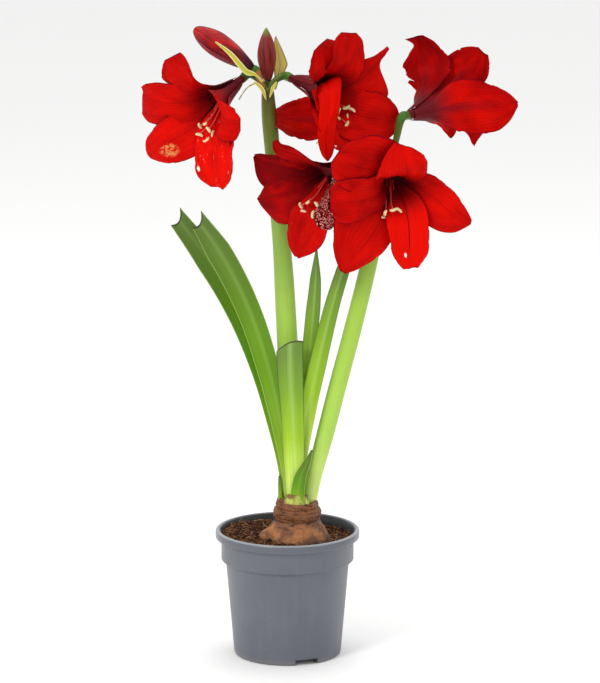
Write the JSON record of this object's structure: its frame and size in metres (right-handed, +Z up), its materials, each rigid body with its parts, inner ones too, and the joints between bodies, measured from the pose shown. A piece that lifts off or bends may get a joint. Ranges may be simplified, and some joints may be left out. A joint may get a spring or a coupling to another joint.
{
  "type": "amaryllis in a pot",
  "caption": "Flowering amaryllis in a round plastic grow pot: bulb in soil, strap leaves and tall stems that carry red trumpet blooms and buds.",
  "frame": {"origin": "middle of the pot's base, on the surface it stands on", "axes": "+Z up along the pot, -Y the side seen in the picture, +X to the right as seen there"},
  "size_m": [0.332, 0.2086, 0.57],
  "materials": {
    "pot": "satin bluish grey moulded plastic",
    "soil": "crumbly red-brown potting soil with fibres",
    "bulb_skin": "dry papery brown skin in layers",
    "leaf": "smooth semi-gloss green, lime at the base",
    "scape": "smooth semi-gloss pale green, olive at the top",
    "petal": "velvety bright red with fine veins, dark maroon throat",
    "bud": "satin dark maroon red",
    "bract": "thin dry yellow-green skin"
  },
  "bodies": {
    "root": {"pot": "pot", "soil": "soil", "bulb": "bulb_skin", "leaf_back_left": "leaf", "leaf_front_left": "leaf", "leaf_cut_front": "leaf", "leaf_pointed": "leaf", "leaf_right": "leaf", "leaf_curled": "leaf", "leaf_stub": "leaf", "scape_left": "scape", "scape_right": "scape", "bloom_left_1": "petal", "bloom_left_2": "petal", "bloom_right_1": "petal", "bloom_right_2": "petal", "bloom_right_3": "petal", "bloom_right_4": "petal", "bud_left_1": "bud", "bud_left_2": "bud", "bract_left_1": "bract", "bract_left_2": "bract", "bract_right_1": "bract"}
  },
  "joints": []
}
